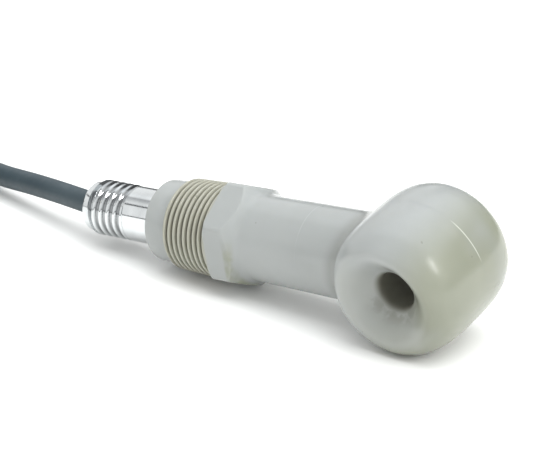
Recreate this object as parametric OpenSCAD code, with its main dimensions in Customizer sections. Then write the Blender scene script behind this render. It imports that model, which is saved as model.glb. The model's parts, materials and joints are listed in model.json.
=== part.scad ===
// Inductive conductivity probe: a potted plastic head with a flow hole through it, a stem
// with a hexagon and a 3/4-14 NPT thread, a stainless nipple, and a signal lead in a coil.
// Millimetres. The probe lies on a flat surface at z = 0 with its stem along X and its head
// at the +X end. Inside laid(), x runs along the stem, y runs along the flow hole, and the
// centre of the head is the origin.

/* [Head] */
// Diameter of the sensing head
head_d = 39; // [38.8:0.1:39.4]
// Diameter of the flow hole
hole_d = 10.5; // [9.6:0.1:10.6]
// Length of the straight middle part of the flow hole
hole_len = 20.8; // [20.4:0.2:21.2]

/* [Stem] */
// Diameter of the stem where it enters the head
stem_head_d = 24.8; // [24.4:0.1:25.2]
// Diameter of the stem next to the hexagon
stem_hex_d = 23.8; // [23.4:0.1:24.4]
// Distance from the head's centre to the glued seam of the stem
seam = 32.5; // [31:0.5:35]
// Distance from the head's centre to the front face of the hexagon
hex_front = 56; // [54:0.5:60]
// Length of the hexagon
hex_len = 7; // [6:0.5:8]
// Distance across the flats of the hexagon
hex_af = 27; // [27:0.1:28]

/* [Thread] */
// Length of the 3/4-14 NPT thread
npt_len = 16.4; // [14.6:0.1:17]
// Length of the plain collar behind the thread
collar_len = 6.8; // [6:0.1:8]

/* [Nipple] */
// Diameter of the stainless nipple
nipple_d = 16; // [15.8:0.1:16.2]
// Length of the nipple's smooth shank
shank_len = 11.4; // [10:0.2:13]
// Length of the nipple's thread
nipple_thread_len = 13; // [10.4:2.6:13]

/* [Lead] */
// Diameter of the lead
lead_d = 6.7; // [6.4:0.1:6.7]

/* [Pose] */
// Upward tilt of the stem towards the head, as the probe lies on head and hexagon
tilt = 5.2; // [5:0.1:5.4]
// Roll of the probe about its stem
roll = 12.2; // [11:0.2:13]

/* [Hidden] */
$fn = 96;
over = 1;  // how far a cutting solid runs past the face that it cuts

// Head: a barrel with a superellipse outline, and at each end a rounded lip and a wide funnel
head_r = head_d / 2;
hole_r = hole_d / 2;
throat = hole_len / 2;
barrel_half = 20.4;
barrel_power = 3.6;
lip_r = 2.6;
lip_from_r = 15.35;
funnel_turn = 41;
rim_r = 2.6;
function barrel_y(r) = barrel_half * pow(1 - pow(r / head_r, barrel_power), 1 / barrel_power);
lip_turn = atan((barrel_y(lip_from_r - 0.01) - barrel_y(lip_from_r + 0.01)) / 0.02);
crest_r = lip_from_r - lip_r * sin(lip_turn);
crest_y = barrel_y(lip_from_r) + lip_r * (1 - cos(lip_turn));
barrel_turn = acos(pow(lip_from_r / head_r, barrel_power / 2));
head_edge = concat(
    [for (k = [0:12]) let (a = barrel_turn * k / 12)
        [head_r * pow(cos(a), 2 / barrel_power), barrel_half * pow(sin(a), 2 / barrel_power)]],
    [for (k = [1:6]) let (a = lip_turn - (lip_turn + funnel_turn) * k / 6)
        [crest_r + lip_r * sin(a), crest_y - lip_r * (1 - cos(a))]],
    [for (k = [0:4]) let (a = (90 - funnel_turn) * (1 - k / 4))
        [hole_r + rim_r * (1 - cos(a)), throat + rim_r * sin(a)]]
);
head_back = [for (k = [len(head_edge) - 1:-1:1]) [head_edge[k][0], -head_edge[k][1]]];

// Space inside the head, and the seam between its two halves
split_y = 1.5;
tube_r = hole_r + 2.4;
cavity_r = head_r - 2.6;
cavity_half = 11;
channel_r = 9.2;
channel_end = 10;

// Stem
stem_head_r = stem_head_d / 2;
stem_hex_r = stem_hex_d / 2;
flare_start = 22;
flare_r = stem_head_r + 1.6;
stub_end = 14;
spigot_len = 6;
spigot_r = 10.6;
function stem_r(x) =
    stem_hex_r + (stem_head_r - stem_hex_r) * (hex_front - x) / (hex_front - flare_start);

// Rear body, measured back from the head
hex_back = hex_front + hex_len;
npt_back = hex_back + npt_len;
body_back = npt_back + collar_len;
hex_corner_r = 15.25;
hex_clock = 4.5;
bevel_front = hex_front - hex_corner_r + stem_hex_r;
npt_pitch = 1.814;
npt_depth = 1.35;
npt_turns = floor(npt_len / npt_pitch);
npt_crest_r = 13.45;
npt_taper = 1 / 32;
collar_r = 11.6;
npt_runout = npt_len - npt_turns * npt_pitch;
function crest_at(x) = npt_crest_r - (x - hex_back) * npt_taper;

// Nipple
nipple_r = nipple_d / 2;
land_r = nipple_r + 0.3;
shank_back = body_back + shank_len;
nipple_pitch = 2.6;
nipple_depth = 1.15;
nipple_turns = round(nipple_thread_len / nipple_pitch);
thread_back = shank_back + nipple_thread_len;
neck_r = 7.2;
neck_len = 3.1;
nipple_back = thread_back + neck_len;
flange_r = channel_r;
flange_back = body_back - 6;
flange_len = 4;
flange_front = flange_back - flange_len;
mouth_r = 3.6;
gland_r = 5.6;
grommet_back = nipple_back - 9.5;
grommet_len = 10;
washer_len = 1;
screw_len = 11;
seal_bead_r = 0.9;
seal_in_r = land_r - 1.2;
seal_out_r = land_r + 0.6;
seal_round = 0.3;
seal_flat = seal_bead_r - seal_round;
seal_back = body_back - 2.2;

// Lead inside the probe, the splices, and the wires to the windings
lead_r = lead_d / 2;
ferrule_back = flange_front - 1.5;
ferrule_len = 6;
ferrule_r = lead_r + 0.8;
jacket_front = ferrule_back - ferrule_len - 1;
core_r = 0.75;
splice_back = 54;
splice_front = 44;
splice_r = 1.1;
wire_r = 0.5;
pair_y = 4.3;
pair_z = 2.5;
sensor_z = 1.4;
bunch_r = 1.9;
potting_back = 40;

// Toroids
half_gap = 0.6;
shield_wall = 0.4;
shield_len = 9.6;
shield_in_r = tube_r + 0.5;
shield_out_r = cavity_r - 1.2;
slit_w = 7;
winding_gap = 24;
winding_in_r = shield_in_r + shield_wall;
winding_out_r = shield_out_r - shield_wall;
winding_near = half_gap + 0.5;
winding_far = half_gap + shield_len - shield_wall;
wrap = 0.9;

// Temperature sensor, in the stem next to the head
sensor_back = 30;
sensor_front = 20;
sensor_r = 1.9;
sleeve_wall = 0.5;

// Pose on the surface: how high the head's centre is, and where it is along X
support_power = barrel_power / (barrel_power - 1);
function head_reach(u) = pow(
    pow(head_r * sqrt(1 - u * u), support_power) + pow(barrel_half * abs(u), support_power),
    1 / support_power);
head_rest = head_reach(sin(roll) * cos(tilt));
reach_front = head_reach(sin(roll) * sin(tilt));
reach_back = nipple_back * cos(tilt) + neck_r * sin(tilt);
centre_x = (reach_back - reach_front) / 2;

// Lead outside the probe: out of the nipple, down to the surface, and into the coil
lead_route = [
    [-66, 0, 10.5], [-70, 0.4, 10.1], [-76, 1.4, 9.6], [-83, 2.8, 8.9], [-90, 4.2, 8.2],
    [-97, 5.7, 7.5], [-104, 7.1, 6.8], [-111, 8.4, 6.2], [-118, 10, 5.6], [-125, 12, 5],
    [-133, 14.8, 4.5], [-141, 18, 4.1], [-149, 21.4, 3.9], [-157, 24.8, 4], [-165, 28.1, 4.3]
];
coil_at = [-183.5, -17.9, 0];
strap_t = 1;
turn_r = 39.5;
columns = 4;
layers = 6;
outer_turn_r = turn_r + (columns - 1) / 2 * lead_d;
coil_in_r = turn_r - columns * lead_d / 2;
coil_out_r = turn_r + columns * lead_d / 2;
coil_top = strap_t + layers * lead_d;
top_layer = coil_top - lead_d;
free_from = 293.5;
free_sweep = 91;

// Ties round the coil
tie_angles = [100, 180, 260];
tie_w = 12;

// Far end of the lead, lying on the coil
boot_r = 3.8;
boot_len = 28;
boot_at_r = outer_turn_r + 0.6;
boot_angle = 306.5;
boot_z = top_layer + boot_r;
fan_from = boot_angle + atan(boot_len / 2 / boot_at_r);
fan_start_r = norm([boot_at_r, boot_len / 2]);
fan_rings = 8;
fan_bunch_r = 2.1;
fan_gap = 1.65;
core_sweep = 57;
core_names = 7;
bare_len = 8;
bare_r = 0.6;

// Shared shapes

module laid() {
    translate([centre_x, 0, head_rest])
        rotate([roll, -tilt, 0])
            children();
}

// A solid of revolution about the stem, from points [radius, distance back from the head]
module turned_back(points) {
    rotate([0, -90, 0])
        rotate_extrude()
            polygon(points);
}

// A solid of revolution about the flow hole, from points [radius, y]
module turned_y(points) {
    rotate([-90, 0, 0])
        rotate_extrude()
            polygon(points);
}

// A plain rod parallel to the stem, from one distance back to a larger one
module rod(front, back, r, y = 0, z = 0) {
    translate([-back, y, z])
        rotate([0, 90, 0])
            cylinder(h = back - front, r = r);
}

module sleeve(front, back, r_in, r_out) {
    turned_back([[r_in, front], [r_out, front], [r_out, back], [r_in, back]]);
}

module band_y(low, high, r_in, r_out) {
    turned_y([[r_in, low], [r_out, low], [r_out, high], [r_in, high]]);
}

// The points of one ring of a tube, square to the way that it runs
function way(path, k) =
    let (a = path[max(k - 1, 0)], b = path[min(k + 1, len(path) - 1)]) (b - a) / norm(b - a);
function ring(path, k, r, sides) =
    let (t = way(path, k), s = cross(t, [0, 0, 1]) / norm(cross(t, [0, 0, 1])), u = cross(s, t))
    [for (j = [0:sides - 1]) let (a = 360 * j / sides) path[k] + r * (cos(a) * s + sin(a) * u)];

module tube(path, r, sides = 8) {
    rings = len(path);
    last = (rings - 1) * sides;
    polyhedron(
        points = [for (k = [0:rings - 1]) each ring(path, k, r, sides)],
        faces = concat(
            [[for (j = [0:sides - 1]) j]],
            [for (k = [0:rings - 2], j = [0:sides - 1]) let (
                a = k * sides + j, b = k * sides + (j + 1) % sides)
                [a, a + sides, b + sides, b]],
            [[for (j = [sides - 1:-1:0]) last + j]]
        )
    );
}

// Head and stem

module head_solid() {
    turned_y(concat(head_back, head_edge));
}

module stub() {
    turned_back([
        [0, stub_end], [flare_r, stub_end], [flare_r, flare_start - 3.4],
        [stem_head_r + 0.4, flare_start - 1], [stem_r(flare_start + 1), flare_start + 1],
        [stem_r(seam), seam], [0, seam]
    ]);
}

module head_space() {
    band_y(-cavity_half, cavity_half, tube_r, cavity_r);
    rod(channel_end, seam + over, channel_r);
    rod(seam - spigot_len, seam + over, spigot_r);
}

module head_shell() {
    color("gainsboro") laid() difference() {
        union() {
            intersection() {
                head_solid();
                translate([-head_r - over, split_y - 3 * head_r, -head_r - over])
                    cube([head_d + 2 * over, 3 * head_r, head_d + 2 * over]);
            }
            stub();
            band_y(0, throat, hole_r, tube_r);
        }
        head_space();
    }
}

module head_cap() {
    color("gainsboro") laid() difference() {
        intersection() {
            head_solid();
            translate([-head_r - over, split_y, -head_r - over])
                cube([head_d + 2 * over, 3 * head_r, head_d + 2 * over]);
        }
        band_y(0, throat, hole_r - over, tube_r);
        band_y(0, cavity_half, tube_r - over, cavity_r);
        stub();
    }
}

// Rear body: spigot, stem, hexagon with its bevel, taper thread and collar

function npt_turn(k) =
    let (x = hex_back + npt_runout / 2 + k * npt_pitch, c = crest_at(x), d = c - npt_depth)
    [[d, x], [c, x + 0.34 * npt_pitch], [c, x + 0.66 * npt_pitch], [d, x + npt_pitch]];

// A wedge that cuts away everything above the slope from the corner's radius at inner down by
// this depth at outer, both of them distances from the head's centre
module wedge(angle, inner, outer, depth) {
    high = hex_corner_r + depth;
    far = inner - 2 * outer;
    rotate([angle - hex_clock, 0, 0])
        rotate([90, 0, 0])
            linear_extrude(hex_corner_r, center = true)
                polygon([[outer - 2 * inner, high], [far, high - 3 * depth], [far, high]]);
}

// The hexagon with its bevel in front, at 45 degrees down to the stem, and broken back corners
module hexagon() {
    difference() {
        intersection() {
            translate([-hex_back, 0, 0])
                rotate([-hex_clock, 0, 0])
                    rotate([0, 90, 0])
                        cylinder(h = hex_back - bevel_front, r = hex_af / 2 / cos(30), $fn = 6);
            rod(bevel_front - over, hex_back + over, hex_corner_r);
        }
        for (facet = [0:11])
            wedge(30 * facet, hex_front, bevel_front, hex_front - bevel_front);
        for (corner = [0:5])
            wedge(60 * corner, hex_back - 0.8, hex_back, 0.9);
    }
}

module rear_body() {
    color("gainsboro") laid() difference() {
        union() {
            sleeve(seam - spigot_len, hex_front, channel_r, spigot_r);
            turned_back(concat(
                [[channel_r, seam], [stem_r(seam), seam], [stem_hex_r, bevel_front],
                 [stem_hex_r, hex_back - 0.5], [collar_r, hex_back]],
                [for (k = [0:npt_turns - 1]) each npt_turn(k)],
                [[collar_r, npt_back], [collar_r, body_back - 0.5], [collar_r - 0.5, body_back],
                 [land_r, body_back], [land_r, flange_back], [channel_r, flange_back]]
            ));
            difference() {
                hexagon();
                rod(0, body_back, stem_hex_r - 1);
            }
        }
        turned_back([
            [seal_in_r, seal_back - seal_bead_r], [seal_out_r, seal_back - seal_bead_r],
            [seal_out_r, seal_back + seal_bead_r], [seal_in_r, seal_back + seal_bead_r]
        ]);
    }
}

// Nipple and the gland inside it

function nipple_turn(k) =
    let (x = shank_back + k * nipple_pitch, r = nipple_r, d = nipple_r - nipple_depth)
    [[r, x + 0.1 * nipple_pitch], [d, x + 0.36 * nipple_pitch], [d, x + 0.56 * nipple_pitch],
     [r, x + 0.82 * nipple_pitch]];

module nipple() {
    color("silver") laid() turned_back(concat(
        [[gland_r, flange_front], [flange_r, flange_front], [flange_r, flange_back],
         [land_r, flange_back], [land_r, seal_back - seal_bead_r],
         [seal_in_r, seal_back - seal_bead_r], [seal_in_r, seal_back + seal_bead_r],
         [land_r, seal_back + seal_bead_r], [land_r, body_back], [nipple_r, body_back]],
        [for (k = [0:nipple_turns - 1]) each nipple_turn(k)],
        [[nipple_r, thread_back - 0.2], [neck_r, thread_back + 0.6],
         [neck_r, nipple_back - 0.5], [neck_r - 0.5, nipple_back], [mouth_r, nipple_back],
         [mouth_r, grommet_back], [gland_r, grommet_back]]
    ));
}

// The seal fills its groove: nearly square once it is squeezed
module nipple_seal() {
    color("dimgray") laid() turned_back([
        [seal_in_r, seal_back - seal_flat], [seal_in_r + seal_round, seal_back - seal_bead_r],
        [seal_out_r - seal_round, seal_back - seal_bead_r], [seal_out_r, seal_back - seal_flat],
        [seal_out_r, seal_back + seal_flat], [seal_out_r - seal_round, seal_back + seal_bead_r],
        [seal_in_r + seal_round, seal_back + seal_bead_r], [seal_in_r, seal_back + seal_flat]
    ]);
}

module cable_grommet() {
    color("dimgray") laid() sleeve(grommet_back - grommet_len, grommet_back, lead_r, gland_r);
}

module grommet_washer() {
    color("silver") laid()
        sleeve(grommet_back - grommet_len - washer_len, grommet_back - grommet_len,
               mouth_r, gland_r);
}

module gland_screw() {
    color("silver") laid()
        sleeve(grommet_back - grommet_len - washer_len - screw_len,
               grommet_back - grommet_len - washer_len, mouth_r, gland_r);
}

module cable_ferrule() {
    color("silver") laid() sleeve(ferrule_back - ferrule_len, ferrule_back, lead_r, ferrule_r);
}

// Wiring inside the probe

module cable_inner_end() {
    color("darkslategray") laid() rod(jacket_front, nipple_back, lead_r);
}

// Where each of the six cores meets its splice: [y, z]
splices = [
    [-pair_y, -pair_z], [-pair_y, pair_z], [0, -sensor_z], [0, sensor_z],
    [pair_y, -pair_z], [pair_y, pair_z]
];

// Each core leaves the jacket's end in a round bunch and eases out to its splice
function core_path(k) = let (s = splices[k], a = atan2(s[1], s[0])) [
    for (j = [0:6]) let (t = j / 6, e = t * t * (3 - 2 * t)) [
        -jacket_front + t * (jacket_front - splice_back),
        bunch_r * cos(a) * (1 - e) + s[0] * e,
        bunch_r * sin(a) * (1 - e) + s[1] * e
    ]
];

module probe_cores() {
    color("ivory") laid() for (k = [0:5]) tube(core_path(k), core_r);
}

module splice_sleeves() {
    color("black") laid()
        for (s = splices) rod(splice_front, splice_back, splice_r, s[0], s[1]);
}

// How far back the winding's rounded outside is at this height
function winding_back(z) = sqrt(winding_out_r * winding_out_r - z * z);

module lead_pair(y) {
    for (side = [-1, 1])
        rod(winding_back(pair_z) + wire_r, splice_front, wire_r, y, side * pair_z);
}

module drive_leads() {
    color("firebrick") laid() lead_pair(-pair_y);
}

module pickup_leads() {
    color("royalblue") laid() lead_pair(pair_y);
}

module sensor_leads() {
    color("goldenrod") laid()
        for (side = [-1, 1]) rod(sensor_back, splice_front, wire_r, 0, side * sensor_z);
}

// One toroid: ferrite core, its winding with a gap for the leads, and its shield cup.
// They are drawn on the +y side, and the other toroid is their mirror image.

module core() {
    band_y(winding_near + wrap, winding_far - wrap, winding_in_r + wrap, winding_out_r - wrap);
}

module winding() {
    difference() {
        band_y(winding_near, winding_far, winding_in_r, winding_out_r);
        core();
        rotate([-90, winding_gap / 2, 0])
            rotate_extrude(angle = winding_gap)
                translate([winding_in_r - over, 0])
                    square([winding_out_r - winding_in_r + 2 * over, winding_far + over]);
    }
}

module shield() {
    difference() {
        band_y(half_gap, half_gap + shield_len, shield_in_r, shield_out_r);
        band_y(0, winding_far, winding_in_r, winding_out_r);
        translate([-2 * shield_out_r, 0, -slit_w / 2])
            cube([2 * shield_out_r - shield_in_r - 1, shield_len, slit_w]);
    }
}

module drive_core() {
    color("dimgray") laid() mirror([0, 1, 0]) core();
}

module drive_winding() {
    color("chocolate") laid() mirror([0, 1, 0]) winding();
}

module drive_shield() {
    color("peru") laid() mirror([0, 1, 0]) shield();
}

module pickup_core() {
    color("dimgray") laid() core();
}

module pickup_winding() {
    color("chocolate") laid() winding();
}

module pickup_shield() {
    color("peru") laid() shield();
}

module core_spacer() {
    color("wheat") laid() band_y(-half_gap, half_gap, shield_in_r, shield_out_r);
}

// Temperature sensor and potting

module sensor_sleeve() {
    color("peru") laid()
        sleeve(sensor_front, sensor_back, sensor_r, sensor_r + sleeve_wall);
}

module temperature_sensor() {
    color("white") laid() rod(sensor_front, sensor_back, sensor_r);
}

module potting_wire_holes() {
    for (y = [-pair_y, pair_y], side = [-1, 1])
        rod(channel_end, splice_front, wire_r, y, side * pair_z);
}

module head_potting() {
    color("saddlebrown") laid() difference() {
        band_y(-cavity_half, cavity_half, tube_r, cavity_r);
        band_y(-half_gap - shield_len, half_gap + shield_len, shield_in_r, shield_out_r);
        potting_wire_holes();
    }
}

module stem_potting() {
    color("saddlebrown") laid() difference() {
        rod(channel_end, potting_back, channel_r);
        band_y(-cavity_half, cavity_half, 0, cavity_r);
        potting_wire_holes();
        rod(sensor_front, sensor_back, sensor_r + sleeve_wall);
        for (side = [-1, 1]) rod(sensor_back, splice_front, wire_r, 0, side * sensor_z);
    }
}

// Lead, coil and ties

module cable_lead() {
    color("darkslategray") tube(lead_route, lead_r, 12);
}

module cable_coil() {
    round_r = lead_r - 0.4;
    color("darkslategray") translate(coil_at) difference() {
        rotate_extrude()
            polygon([
                for (corner = [[coil_in_r + round_r, strap_t + round_r, 180],
                               [coil_out_r - round_r, strap_t + round_r, 270],
                               [coil_out_r - round_r, coil_top - round_r, 0],
                               [coil_in_r + round_r, coil_top - round_r, 90]], k = [0:3])
                    let (a = corner[2] + 30 * k)
                    [corner[0] + round_r * cos(a), corner[1] + round_r * sin(a)]
            ]);
        rotate([0, 0, free_from])
            rotate_extrude(angle = free_sweep)
                translate([coil_out_r - lead_d, top_layer])
                    square([lead_d + over, lead_d + over]);
    }
}

module coil_ties() {
    inner = coil_in_r - 0.7;
    outer = coil_out_r + 0.1;
    color("black") translate(coil_at)
        for (a = tie_angles) rotate([0, 0, a]) difference() {
            translate([inner - strap_t, -tie_w / 2, 0])
                cube([outer - inner + 2 * strap_t, tie_w, coil_top + strap_t]);
            translate([inner, -tie_w / 2 - over, strap_t])
                cube([outer - inner, tie_w + 2 * over, coil_top - strap_t]);
        }
}

// Far end: a heat-shrunk boot, six cores and a drain wire, each with a crimped pin

module end_boot() {
    color("black") translate(coil_at) rotate([0, 0, boot_angle])
        translate([boot_at_r, -boot_len / 2, boot_z])
            rotate([-90, 0, 0])
                cylinder(h = boot_len, r = boot_r);
}

// Core k eases from its place in the boot to its own place beside the others on the coil
function fan_offset(k) = (k % 4 - 1.8) * fan_gap + (k < 4 ? 0 : fan_gap / 2);
function fan_height(k) = core_r + (k < 4 ? 0 : 1.5 * core_r);
function fan_point(k, t) =
    let (
        e = t * t * (3 - 2 * t),
        a = fan_from + core_sweep * t,
        bunch = k == 6 ? 0 : fan_bunch_r,
        r = (fan_start_r + bunch * cos(60 * k)) * (1 - e) + (outer_turn_r + fan_offset(k)) * e,
        z = (boot_z + bunch * sin(60 * k)) * (1 - e) + (top_layer + fan_height(k)) * e
    )
    coil_at + [r * cos(a), r * sin(a), z];
function fan_path(k) = [for (j = [0:fan_rings]) fan_point(k, j / fan_rings)];

module core_white() {
    color("white") tube(fan_path(0), core_r);
}

module core_black() {
    color("black") tube(fan_path(1), core_r);
}

module core_red() {
    color("red") tube(fan_path(2), core_r);
}

module core_green() {
    color("green") tube(fan_path(3), core_r);
}

module core_blue() {
    color("blue") tube(fan_path(4), core_r);
}

module core_yellow() {
    color("yellow") tube(fan_path(5), core_r);
}

module drain_wire() {
    color("silver") tube(fan_path(6), core_r);
}

module end_ferrules() {
    color("silver") for (k = [0:core_names - 1]) {
        tip = fan_path(k)[fan_rings];
        run = way(fan_path(k), fan_rings);
        tube([tip, tip + bare_len * run], bare_r);
    }
}

head_shell();
head_cap();
rear_body();
nipple();
nipple_seal();
cable_grommet();
grommet_washer();
gland_screw();
cable_ferrule();
cable_inner_end();
probe_cores();
splice_sleeves();
drive_leads();
pickup_leads();
sensor_leads();
drive_core();
drive_winding();
drive_shield();
pickup_core();
pickup_winding();
pickup_shield();
core_spacer();
sensor_sleeve();
temperature_sensor();
head_potting();
stem_potting();
cable_lead();
cable_coil();
coil_ties();
end_boot();
core_white();
core_black();
core_red();
core_green();
core_blue();
core_yellow();
drain_wire();
end_ferrules();
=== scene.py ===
import json
import math

import bmesh
import bpy
import numpy as np
from mathutils import Matrix, Vector


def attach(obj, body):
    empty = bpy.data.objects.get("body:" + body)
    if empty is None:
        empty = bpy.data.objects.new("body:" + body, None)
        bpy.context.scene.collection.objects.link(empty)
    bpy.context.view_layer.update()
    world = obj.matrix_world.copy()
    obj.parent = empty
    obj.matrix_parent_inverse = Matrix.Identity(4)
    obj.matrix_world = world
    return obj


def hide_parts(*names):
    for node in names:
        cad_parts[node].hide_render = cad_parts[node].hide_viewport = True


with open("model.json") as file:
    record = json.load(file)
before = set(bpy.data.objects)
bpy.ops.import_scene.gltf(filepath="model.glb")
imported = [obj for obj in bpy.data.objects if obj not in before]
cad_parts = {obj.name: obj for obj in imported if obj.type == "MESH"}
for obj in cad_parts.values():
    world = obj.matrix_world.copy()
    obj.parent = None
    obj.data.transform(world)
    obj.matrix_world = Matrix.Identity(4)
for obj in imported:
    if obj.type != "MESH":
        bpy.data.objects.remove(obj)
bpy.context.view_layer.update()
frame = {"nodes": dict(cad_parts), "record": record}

# ---------------------------------------------------------------- frame and axes
# Shapes are worked out in millimetres in the probe's own axes: x along the stem towards the
# head, y through the flow hole from front to back, and the head's centre at the origin.

MM = 0.001
MOUNTS = {m["name"]: m for m in frame["record"]["mounts"]}
HEAD = np.array(MOUNTS["flow_hole"]["pos_m"])
STEM = -np.array(MOUNTS["process_thread"]["axis"])
HOLE = -np.array(MOUNTS["flow_hole"]["axis"])
AXES = np.stack([STEM, HOLE, np.cross(STEM, HOLE)])
PROBE = Matrix.LocRotScale(Vector(HEAD), Matrix(AXES.T.tolist()).to_quaternion(), None)


def placed(points):
    """World coordinates in metres of points in mm in the probe's own axes."""
    return HEAD + np.asarray(points, float) * MM @ AXES


# ---------------------------------------------------------------- dimensions, in mm

# Head: a superellipse barrel, then a lip and a funnel in one curve, then the rim of the hole
HEAD_R = 19.5
BARREL_HALF = 20.4
BARREL_POWER = 3.6
LIP_FROM_R = 15.35
LIP_REACH = 3.5
FUNNEL_REACH = 4.5
FUNNEL_TURN = math.radians(41)
RIM_R = 2.6
HOLE_R = 5.25
THROAT = 10.4

# Where the head's shells meet, and the space in them for the toroids
SPLIT_Y = 1.5
TUBE_R = 7.65
CAVITY_R = 16.9
CAVITY_HALF = 11.0
CHANNEL_R = 9.2
CHANNEL_END = 10.0
HEAD_CELL = 0.6

# Stem, with distances counted back from the hole's axis
STEM_HEAD_R = 12.4
STEM_HEX_R = 11.9
FLARE_START = 22.0
STUB_END = 14.0
STUB_R = 14.0
STUB_REACH = 12.0
STUB_FILLET = 2.4
SEAM = 32.5
SPIGOT_LEN = 6.0
SPIGOT_R = 10.6

# Hexagon, with its bevel and the small roundings of its edges
HEX_FRONT = 56.0
HEX_BACK = 63.0
HEX_HALF_AF = 13.5
HEX_CORNER_R = 15.25
HEX_CLOCK = 4.5
HEX_FILLET = 1.2
FLAT_EDGE_R = 0.12
CORNER_EDGE_R = 0.15
BEVEL_EDGE_R = 0.25
BACK_EDGE_R = 0.2
REAR_CELL = 0.27

# Taper thread and collar
NPT_PITCH = 1.814
NPT_DEPTH = 1.35
NPT_CREST_R = 13.45
NPT_CREST_SHARE = 0.28
NPT_TAPER = 1 / 32
NPT_BACK = 79.4
COLLAR_R = 11.6
BODY_BACK = 86.2

# Nipple, from the flange inside the rear body to the mouth where the lead comes out
NIPPLE_R = 8.0
LAND_R = 8.3
FLANGE_FRONT = 76.2
FLANGE_BACK = 80.2
SHANK_BACK = 97.6
NIPPLE_PITCH = 2.6
NIPPLE_DEPTH = 1.15
NIPPLE_THREAD_BACK = 110.6
NECK_R = 7.2
NIPPLE_BACK = 113.7
MOUTH_R = 3.6
GLAND_R = 5.6
GROMMET_BACK = 104.2

# ---------------------------------------------------------------- camera

# Where the camera looks from, its field of view, and the head's place in front of it in mm
CAMERA_AZIMUTH = math.radians(38.1)
CAMERA_ELEVATION = math.radians(22.5)
FOCAL_LENGTHS_WIDE = 4.621
HEAD_RIGHT = 39.4
HEAD_DOWN = 9.0
HEAD_AWAY = 654.3


def make_camera():
    """The head's centre lies this far right of, below and in front of the camera."""
    a, e = CAMERA_AZIMUTH, CAMERA_ELEVATION
    ahead = np.array([-math.sin(a) * math.cos(e), math.cos(a) * math.cos(e), -math.sin(e)])
    right = np.array([math.cos(a), math.sin(a), 0.0])
    down = np.cross(ahead, right)
    data = bpy.data.cameras.new("camera")
    data.sensor_width = 36.0
    data.lens = FOCAL_LENGTHS_WIDE * data.sensor_width
    data.clip_start, data.clip_end = 0.02, 30.0
    camera = bpy.data.objects.new("camera", data)
    away = HEAD_RIGHT * right + HEAD_DOWN * down + HEAD_AWAY * ahead
    camera.location = Vector(HEAD - away * MM)
    camera.rotation_mode = "QUATERNION"
    camera.rotation_quaternion = Vector(ahead).to_track_quat("-Z", "Y")
    bpy.context.scene.collection.objects.link(camera)
    bpy.context.scene.camera = camera


make_camera()

# ---------------------------------------------------------------- mesh helpers


def add_object(name, data):
    piece = bpy.data.objects.new(name, data)
    bpy.context.scene.collection.objects.link(piece)
    return piece


def mesh_piece(name, points, faces, on_probe=True, smooth=True):
    """A mesh object from points in mm and faces that list them."""
    places = placed(points) if on_probe else np.asarray(points, float) * MM
    mesh = bpy.data.meshes.new(name)
    mesh.from_pydata(places.tolist(), [], [list(f) for f in faces])
    mesh.update()
    piece = add_object(name, mesh)
    if smooth:
        mesh.shade_smooth()
    return piece


def smoothstep(t):
    t = np.clip(t, 0.0, 1.0)
    return t * t * (3 - 2 * t)


def sharpen(piece, degrees):
    """Smooth shading that breaks at edges sharper than this angle."""
    mesh = piece.data
    build = bmesh.new()
    build.from_mesh(mesh)
    limit = math.radians(degrees)
    for edge in build.edges:
        edge.smooth = len(edge.link_faces) == 2 and edge.calc_face_angle(0.0) < limit
    for face in build.faces:
        face.smooth = True
    build.to_mesh(mesh)
    build.free()


def grid_faces(rows, columns, closed_rows):
    """Quads of a grid of rows by columns whose columns run round, and whose rows may too."""
    k = np.arange(rows if closed_rows else rows - 1)[:, None]
    j = np.arange(columns)[None, :]
    a = k * columns + j
    b = k * columns + (j + 1) % columns
    c = ((k + 1) % rows) * columns + (j + 1) % columns
    d = ((k + 1) % rows) * columns + j
    return np.stack([a, b, c, d], -1).reshape(-1, 4)


def turned(name, outline, columns=96, axis="x"):
    """A solid of revolution from a closed outline of (radius, distance) pairs. About "x" the
    distance counts back along the stem, and about "y" it counts along the flow hole. A radius
    may be a function of the angle, as an array over the columns."""
    angle = np.linspace(0, 2 * math.pi, columns, endpoint=False)
    rows = []
    for radius, along in outline:
        r = np.broadcast_to(np.asarray(radius, float), angle.shape)
        s = np.broadcast_to(np.asarray(along, float), angle.shape)
        if axis == "x":
            rows.append(np.stack([-s, r * np.cos(angle), r * np.sin(angle)], -1))
        else:
            rows.append(np.stack([r * np.sin(angle), s, r * np.cos(angle)], -1))
    piece = mesh_piece(name, np.concatenate(rows), grid_faces(len(outline), columns, True))
    outwards(piece)
    return piece


def outwards(piece):
    """Turns the faces of a closed piece so that they all look out of it."""
    build = bmesh.new()
    build.from_mesh(piece.data)
    bmesh.ops.recalc_face_normals(build, faces=build.faces)
    if build.calc_volume(signed=True) < 0:
        bmesh.ops.reverse_faces(build, faces=build.faces)
    build.to_mesh(piece.data)
    build.free()


def combine(piece, other, operation):
    """Adds, cuts away or keeps the overlap with another closed piece, which is used up."""
    modifier = piece.modifiers.new("combine", "BOOLEAN")
    modifier.object = other
    modifier.operation = operation
    modifier.solver = "MANIFOLD"
    evaluated = piece.evaluated_get(bpy.context.evaluated_depsgraph_get())
    mesh = bpy.data.meshes.new_from_object(evaluated)
    piece.modifiers.clear()
    old = piece.data
    piece.data = mesh
    mesh.name = old.name
    bpy.data.meshes.remove(old)
    used = other.data
    bpy.data.objects.remove(other)
    bpy.data.meshes.remove(used)


def block(name, low, high):
    """A plain box, used only as a cutter."""
    (x0, y0, z0), (x1, y1, z1) = low, high
    points = [(x, y, z) for x in (x0, x1) for y in (y0, y1) for z in (z0, z1)]
    faces = [(0, 1, 3, 2), (4, 6, 7, 5), (0, 4, 5, 1), (2, 3, 7, 6), (0, 2, 6, 4), (1, 5, 7, 3)]
    piece = mesh_piece(name, points, faces, smooth=False)
    outwards(piece)
    return piece


# ---------------------------------------------------------------- surfaces from a field


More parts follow.
